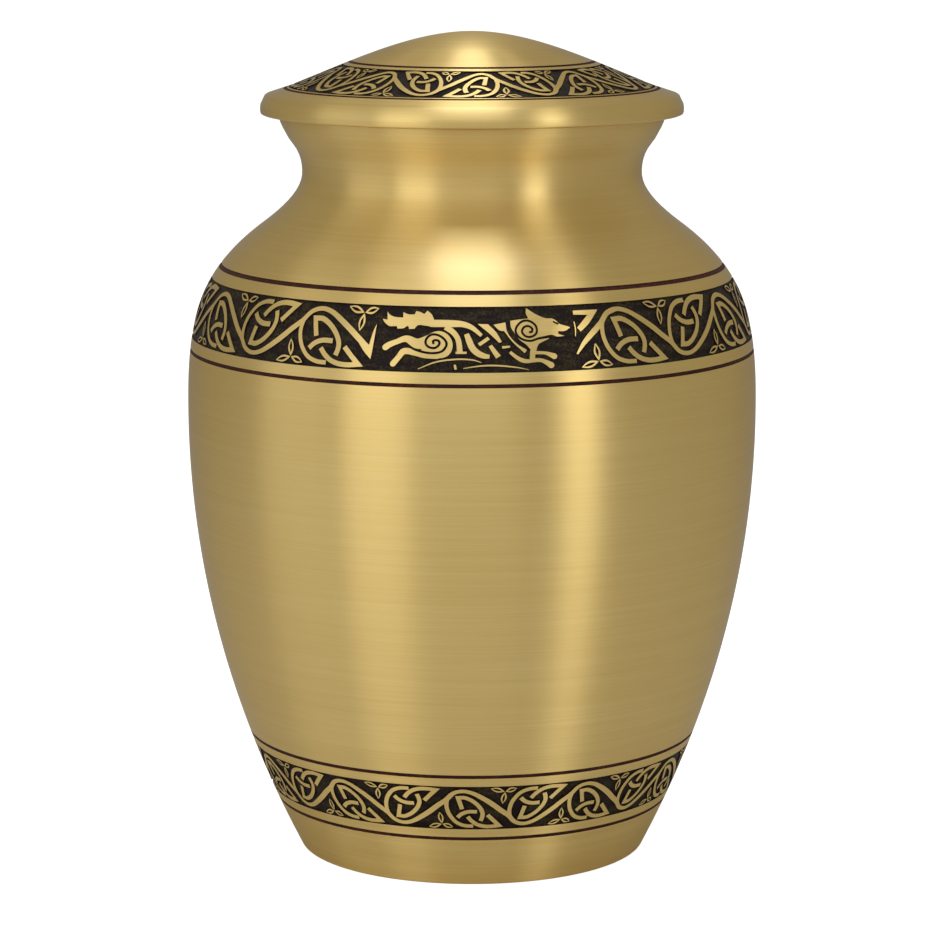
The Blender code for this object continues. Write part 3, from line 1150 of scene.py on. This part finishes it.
@dataclass(frozen=True)
class UrnLid:
    """The hollow lid: a low dome, a carved slope, a rim, and a skirt that drops into the mouth."""

    seat: float = 234.5 * MM
    rim_radius: float = 66.4 * MM
    rim_height: float = 3.0 * MM
    rim_round: float = 0.8 * MM
    shoulder: Point = (64.8 * MM, 240.6 * MM)
    band_outer: Point = (57.4 * MM, 243.0 * MM)
    band_inner: Point = (40.3 * MM, 250.0 * MM)
    apex: float = 260.1 * MM
    dome_lean: float = -0.40
    thickness: float = 2.3 * MM
    skirt_radius: float = 47.4 * MM
    bore_radius: float = 45.6 * MM
    skirt_depth: float = 10.0 * MM
    shoulder_round: float = 0.4 * MM
    shoulder_bulge: Point = (0.2 * MM, -0.3 * MM)
    lower_corner: float = 0.3
    upper_corner: Point = (0.15, 0.2)
    slope_rings: int = 4
    dome_rings: int = 18
    ceiling_rings: int = 10
    outer_line: Line = Line(58.5 * MM, 1.1 * MM)
    inner_line: Line = Line(38.2 * MM, 1.2 * MM)

    def build(self, finishes: Sequence[bpy.types.Material]) -> bpy.types.Object:
        """Builds the lid.

        Args:
            finishes: One material for each slot.

        Returns:
            The finished piece.
        """
        start = self.shoulder[0] - self.shoulder_round
        slope = lined(self.slope, start, self.band_outer[0], self.slope_rings, (self.outer_line,))
        dome = lined(self.dome, self.band_inner[0], 0.0, self.dome_rings, (self.inner_line,))
        shells = (
            turned("rim_shell", self.under() + self.rim() + slope),
            self.carved_band().carve("lid_band"),
            turned("dome_shell", dome),
        )
        return made_one(shells, "urn_lid_carved", finishes)

    def rim(self) -> list[Stretch]:
        """Gives the rim's rounded edges, from the seat up to the slope.

        Returns:
            The outline's points.
        """
        radius, low, size = self.rim_radius, self.seat, self.rim_round
        cut = size * self.lower_corner
        lower = [(radius - cut, low + cut), (radius, low + size)]
        top = low + self.rim_height
        inward, up = self.upper_corner
        upper = [(radius, top - size), (radius - size * inward, top + size * up)]
        shoulder = (self.shoulder[0] + self.shoulder_bulge[0], self.shoulder[1] + self.shoulder_bulge[1])
        return stretches([(radius - size, low), *lower, *upper, shoulder])

    def slope(self, radius: float) -> Point:
        """Gives the plain slope's point between the rim's shoulder and the carved band."""
        share = (radius - self.shoulder[0]) / (self.band_outer[0] - self.shoulder[0])
        return radius, self.shoulder[1] + (self.band_outer[1] - self.shoulder[1]) * share

    def dome(self, radius: float) -> Point:
        """Gives the dome's point at a radius."""
        return radius, hermite((0, self.apex, 0), (*self.band_inner, self.dome_lean), radius)

    def under(self) -> list[Stretch]:
        """Gives the lid's underside from its centre: the ceiling, the bore, the skirt and the seat.

        Returns:
            The outline's points.
        """
        drop = self.thickness
        slope = (self.band_inner[1] - self.band_outer[1]) / (self.band_inner[0] - self.band_outer[0])
        bore_top = self.band_outer[1] + slope * (self.bore_radius - self.band_outer[0]) - drop
        radii = spread(0, self.band_inner[0], self.ceiling_rings)
        ceiling = [(radius, self.dome(radius)[1] - drop) for radius in radii]
        foot = self.seat - self.skirt_depth
        bore = [(self.bore_radius, bore_top), (self.bore_radius, foot)]
        skirt = [(self.skirt_radius, foot), (self.skirt_radius, self.seat)]
        return stretches(ceiling + bore, Slot.INSIDE) + stretches(skirt)

    def carved_band(self) -> Band:
        """Draws the scroll of the lid's slope, which runs leftwards and has no end.

        Returns:
            The band.
        """
        outer, inner = Vector(self.band_outer), Vector(self.band_inner)

        def surface(share: float) -> Point:
            """Gives the slope's point (radius, height) at a share of the way in."""
            return tuple(outer + (inner - outer) * share)

        scroll = Scroll(
            units=18,
            closed=True,
            stem_width=1.55 * MM,
            branch_width=1.35 * MM,
            knot_width=1.45 * MM,
            leaf_width=2.1 * MM,
            slot_width=0.60 * MM,
        )
        band = Band(surface, step=math.tau / scroll.units, start=math.radians(9.2), way=Way.LEFT)
        scroll.draw(band)
        return band


# How much the radius counts beside the height in the grain's place along the turned outline.
RADIUS_SHARE = 0.9
# Where nearly all of a noise's values lie.
NOISE_MIDDLE = (0.3, 0.7)


class Wiring:
    """Adds nodes to one material's tree and wires them up."""

    def __init__(self, name: str) -> None:
        """Makes the material.

        Args:
            name: The material's name.
        """
        self.material = bpy.data.materials.new(name)
        self.material.use_nodes = True
        self.tree = self.material.node_tree
        self.shader = self.tree.nodes["Principled BSDF"]

    def node(self, kind: str, *inputs: object, **settings: object) -> bpy.types.NodeSocket:
        """Adds a node.

        Args:
            kind: The node's type, without its ShaderNode prefix.
            inputs: Its inputs in order: a socket to wire up, a value to set, or None to leave as it is.
            settings: Its own settings.

        Returns:
            The node's first output.
        """
        made = self.tree.nodes.new("ShaderNode" + kind)
        for name, value in settings.items():
            setattr(made, name, value)
        for socket, value in zip(made.inputs, inputs):
            if isinstance(value, bpy.types.NodeSocket):
                self.tree.links.new(value, socket)
            elif value is not None:
                socket.default_value = value
        return made.outputs[0]

    def maths(self, operation: str, *inputs: object) -> bpy.types.NodeSocket:
        """Adds a Math node."""
        return self.node("Math", *inputs, operation=operation)

    def place(self) -> bpy.types.NodeSocket:
        """Gives the Object coordinates."""
        return self.tree.nodes.new("ShaderNodeTexCoord").outputs["Object"]

    def radius(self) -> bpy.types.NodeSocket:
        """Gives the distance from the urn's axis.

        Returns:
            The distance.
        """
        x, y, _ = self.node("SeparateXYZ", self.place()).node.outputs
        squares = self.maths("ADD", self.maths("MULTIPLY", x, x), self.maths("MULTIPLY", y, y))
        return self.maths("SQRT", squares)

    def noise(
        self, vector: bpy.types.NodeSocket, scale: float, detail: float = 2.0
    ) -> bpy.types.NodeSocket:
        """Adds a noise texture."""
        return self.node("TexNoise", vector, None, scale, detail)

    def spread_over(self, value: bpy.types.NodeSocket, low: float, high: float) -> bpy.types.NodeSocket:
        """Maps the middle of a noise's range, where nearly all of it lies, to a range of values."""
        return self.node("MapRange", value, *NOISE_MIDDLE, low, high)

    def mixed(self, *shares: tuple[bpy.types.NodeSocket, float]) -> bpy.types.NodeSocket:
        """Adds up values, each given with its share.

        Args:
            shares: Each value with its share.

        Returns:
            Their sum.
        """
        first, *others = (self.maths("MULTIPLY", value, share) for value, share in shares)
        for other in others:
            first = self.maths("ADD", first, other)
        return first

    def blend(self, factor: bpy.types.NodeSocket, start: Colour, end: Colour) -> bpy.types.NodeSocket:
        """Mixes two colours.

        Args:
            factor: How much of the end there is.
            start: The colour at 0.
            end: The colour at 1.

        Returns:
            The colour.
        """
        mix = self.tree.nodes.new("ShaderNodeMix")
        mix.data_type = "RGBA"
        self.tree.links.new(factor, mix.inputs["Factor"])
        mix.inputs["A"].default_value = start
        mix.inputs["B"].default_value = end
        return mix.outputs["Result"]

    def wire(self, socket: bpy.types.NodeSocket, name: str) -> None:
        """Wires a socket to the shader's input of that name."""
        self.tree.links.new(socket, self.shader.inputs[name])

    def roughen(self, height: bpy.types.NodeSocket, strength: float, distance: float) -> None:
        """Adds a bump of a strength and a height in metres, which follows a noise.

        Args:
            height: The noise.
            strength: How much of the bump shows.
            distance: Its height, in metres.
        """
        bump = self.node("Bump", strength, distance)
        self.tree.links.new(height, bump.node.inputs["Height"])
        self.wire(bump, "Normal")

    def turned_grain(self, round_scale: float, along_scale: float) -> bpy.types.NodeSocket:
        """Gives coordinates in which a noise is drawn out into lines round the urn's axis.

        Args:
            round_scale: How fast the noise changes round the axis, per metre.
            along_scale: How fast it changes along the turned outline, per metre.

        Returns:
            The coordinates.
        """
        x, y, z = self.node("SeparateXYZ", self.place()).node.outputs
        along = self.maths("SUBTRACT", z, self.maths("MULTIPLY", self.radius(), RADIUS_SHARE))
        return self.node(
            "CombineXYZ",
            self.maths("MULTIPLY", x, round_scale),
            self.maths("MULTIPLY", y, round_scale),
            self.maths("MULTIPLY", along, along_scale),
        )


@dataclass(frozen=True)
class Grain:
    """A noise drawn out into lines round the axis: its scale round it and along the outline."""

    round_scale: float
    along_scale: float
    detail: float

    def noise(self, wiring: Wiring) -> bpy.types.NodeSocket:
        """Adds the noise to a material."""
        return wiring.noise(wiring.turned_grain(self.round_scale, self.along_scale), 1.0, self.detail)


@dataclass(frozen=True)
class SatinBrass:
    """Brass turned and brushed on a lathe: fine lines round the axis, and a soft, drawn-out gloss."""

    name: str
    pale: Colour
    deep: Colour
    roughness: tuple[float, float]
    anisotropy: float
    fine: Grain = Grain(14.0, 2600.0, 3.0)
    broad: Grain = Grain(9.0, 420.0, 2.0)
    cloud_scale: float = 22.0
    shares: tuple[float, float, float] = (0.45, 0.3, 0.25)
    edge_tint: Colour = (0.72, 0.67, 0.56, 1)
    coat: float = 0.35
    coat_roughness: float = 0.35
    bump: float = 0.25
    bump_height: float = 0.03 * MM
    brushed_from: float = 3 * MM
    brushed_at: float = 28 * MM
    brush_turn: float = 0.25

    def material(self) -> bpy.types.Material:
        """Makes the material. Its gloss isn't drawn out at the axis, where the brushed lines close in.

        Returns:
            The material.
        """
        wiring = Wiring(self.name)
        fine = self.fine.noise(wiring)
        noises = (fine, self.broad.noise(wiring), wiring.noise(wiring.place(), self.cloud_scale))
        shade = wiring.mixed(*zip(noises, self.shares))
        full_range = wiring.spread_over(shade, 0.0, 1.0)
        wiring.wire(wiring.blend(full_range, self.deep, self.pale), "Base Color")
        wiring.wire(wiring.spread_over(shade, *self.roughness), "Roughness")
        brushed = (self.brushed_from, self.brushed_at, 0.0, self.anisotropy)
        wiring.wire(wiring.node("MapRange", wiring.radius(), *brushed), "Anisotropic")
        wiring.shader.inputs["Anisotropic Rotation"].default_value = self.brush_turn
        wiring.shader.inputs["Metallic"].default_value = 1.0
        wiring.shader.inputs["Specular Tint"].default_value = self.edge_tint
        wiring.shader.inputs["Coat Weight"].default_value = self.coat
        wiring.shader.inputs["Coat Roughness"].default_value = self.coat_roughness
        wiring.roughen(fine, self.bump, self.bump_height)
        return wiring.material


@dataclass(frozen=True)
class Lacquer:
    """A dark lacquer that fills a sunk ground or a groove, streaked and worn a little unevenly."""

    name: str
    deep: Colour
    streak: Colour
    bump: float
    roughness: tuple[float, float] = (0.55, 0.7)
    streaks: Grain = Grain(160.0, 500.0, 4.0)
    fleck_scale: float = 1500.0
    fleck_range: tuple[float, float] = (0.2, 0.45)
    gloss: float = 0.15
    bump_height: float = 0.05 * MM

    def material(self) -> bpy.types.Material:
        """Makes the material.

        Returns:
            The material.
        """
        wiring = Wiring(self.name)
        streak = self.streaks.noise(wiring)
        fleck = wiring.noise(wiring.place(), self.fleck_scale)
        both = wiring.maths("MULTIPLY", streak, fleck)
        worn = wiring.node("MapRange", both, *self.fleck_range, 0.0, 1.0)
        wiring.wire(wiring.blend(worn, self.deep, self.streak), "Base Color")
        wiring.wire(wiring.spread_over(streak, *self.roughness), "Roughness")
        wiring.shader.inputs["Specular IOR Level"].default_value = self.gloss
        wiring.roughen(fleck, self.bump, self.bump_height)
        return wiring.material


def finishes_for(name: str) -> list[bpy.types.Material]:
    """Makes the finishes of one piece.

    Args:
        name: The start of their names.

    Returns:
        One material for each slot, in the slots' order.
    """
    finishes = (
        SatinBrass(
            name=f"{name}_brass",
            pale=(0.88, 0.66, 0.245, 1),
            deep=(0.77, 0.54, 0.165, 1),
            roughness=(0.40, 0.48),
            anisotropy=0.95,
        ),
        Lacquer(
            name=f"{name}_ground",
            deep=(0.008, 0.003, 0.0015, 1),
            streak=(0.045, 0.034, 0.012, 1),
            bump=0.5,
        ),
        Lacquer(
            name=f"{name}_line",
            deep=(0.028, 0.006, 0.003, 1),
            streak=(0.090, 0.023, 0.009, 1),
            bump=0.2,
        ),
        SatinBrass(
            name=f"{name}_inside",
            pale=(0.52, 0.41, 0.22, 1),
            deep=(0.40, 0.30, 0.15, 1),
            roughness=(0.45, 0.58),
            anisotropy=0.5,
        ),
    )
    return [finish.material() for finish in finishes]


@dataclass(frozen=True)
class Softbox:
    """A large soft lamp that faces the urn."""

    name: str
    place: tuple[float, float, float]
    size: Point
    power: float
    aim: tuple[float, float, float] = (0, 0, 0.15)
    colour: tuple[float, float, float] = (0.95, 0.98, 1.1)

    def build(self) -> None:
        """Adds the lamp."""
        deselect()
        bpy.ops.object.light_add(type="AREA", location=self.place)
        lamp = bpy.context.object
        lamp.name = self.name
        lamp.rotation_euler = (Vector(self.aim) - Vector(self.place)).to_track_quat("-Z", "Y").to_euler()
        lamp.data.shape = "RECTANGLE"
        lamp.data.size, lamp.data.size_y = self.size
        lamp.data.energy = self.power
        lamp.data.color = self.colour


@dataclass(frozen=True)
class Studio:
    """A pale floor, soft lamps, a white surround and the camera."""

    floor_size: float = 24.0
    floor_drop: float = 0.02 * MM
    floor_roughness: float = 0.8
    floor_colour: Colour = (0.66, 0.66, 0.66, 1)
    floor_glow: float = 0.84
    surround: Colour = (1.0, 0.97, 0.90, 1)
    surround_strength: float = 0.44
    camera_place: tuple[float, float, float] = (0.0, -1.132, 0.3158)
    camera_pitch: float = math.radians(9.66)
    camera_lens: float = 139.96
    camera_sensor: float = 36.0
    camera_shift: float = -0.00973
    lamps: tuple[Softbox, ...] = (
        Softbox("lamp_right", (0.90, -0.97, 0.55), (0.34, 1.0), 3.0),
        Softbox("lamp_left", (-0.80, -1.05, 0.55), (0.66, 1.0), 3.8),
        Softbox("lamp_far_left", (-1.25, -0.35, 0.55), (0.8, 1.0), 1.6),
        Softbox("lamp_top", (0.0, -0.1, 1.5), (0.5, 0.5), 5.8, (0, 0, 0.2), (0.88, 0.96, 1.3)),
        Softbox("lamp_front", (0.0, -2.0, 0.95), (1.5, 0.9), 3.9),
    )

    def build(self) -> None:
        """Builds the whole studio."""
        deselect()
        bpy.ops.mesh.primitive_plane_add(size=self.floor_size, location=(0, 0, -self.floor_drop))
        floor = bpy.context.object
        floor.name = "studio_floor"
        bpy.ops.object.transform_apply(location=True, rotation=True, scale=True)
        bpy.ops.object.mode_set(mode="EDIT")
        bpy.ops.mesh.subdivide(number_cuts=3)
        bpy.ops.object.mode_set(mode="OBJECT")
        floor.data.materials.append(self.floor_paint())
        for lamp in self.lamps:
            lamp.build()
        self.light_surround()
        self.place_camera()
        bpy.context.scene.view_settings.view_transform = "Standard"

    def floor_paint(self) -> bpy.types.Material:
        """Makes the floor's matt paint. Its even glow whitens the floor, and doesn't light the urn.

        Returns:
            The paint.
        """
        wiring = Wiring("studio_floor_paint")
        seen = wiring.tree.nodes.new("ShaderNodeLightPath").outputs["Is Camera Ray"]
        wiring.wire(wiring.maths("MULTIPLY", seen, self.floor_glow), "Emission Strength")
        wiring.shader.inputs["Emission Color"].default_value = (1, 1, 1, 1)
        wiring.shader.inputs["Base Color"].default_value = self.floor_colour
        wiring.shader.inputs["Roughness"].default_value = self.floor_roughness
        return wiring.material

    def light_surround(self) -> None:
        """Lights the room round the urn evenly."""
        world = bpy.data.worlds.new("studio_surround")
        world.use_nodes = True
        background = world.node_tree.nodes["Background"]
        background.inputs["Color"].default_value = self.surround
        background.inputs["Strength"].default_value = self.surround_strength
        bpy.context.scene.world = world

    def place_camera(self) -> None:
        """Places the camera as the photograph's."""
        deselect()
        bpy.ops.object.camera_add(
            location=self.camera_place, rotation=(math.pi / 2 - self.camera_pitch, 0, 0)
        )
        camera = bpy.context.object
        camera.name = "photo_camera"
        camera.data.lens = self.camera_lens
        camera.data.sensor_width = self.camera_sensor
        camera.data.shift_x = self.camera_shift
        camera.data.dof.use_dof = False
        bpy.context.scene.camera = camera


def main() -> None:
    """Builds the urn's two pieces and the studio."""
    logging.basicConfig(level=logging.INFO, format="%(name)s: %(message)s")
    Studio().build()
    body = UrnBody().build(finishes_for("body"))
    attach(body, "root")
    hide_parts("urn_body")
    lid = UrnLid().build(finishes_for("lid"))
    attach(lid, "root")
    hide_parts("urn_lid")


if __name__ == "__main__":
    main()
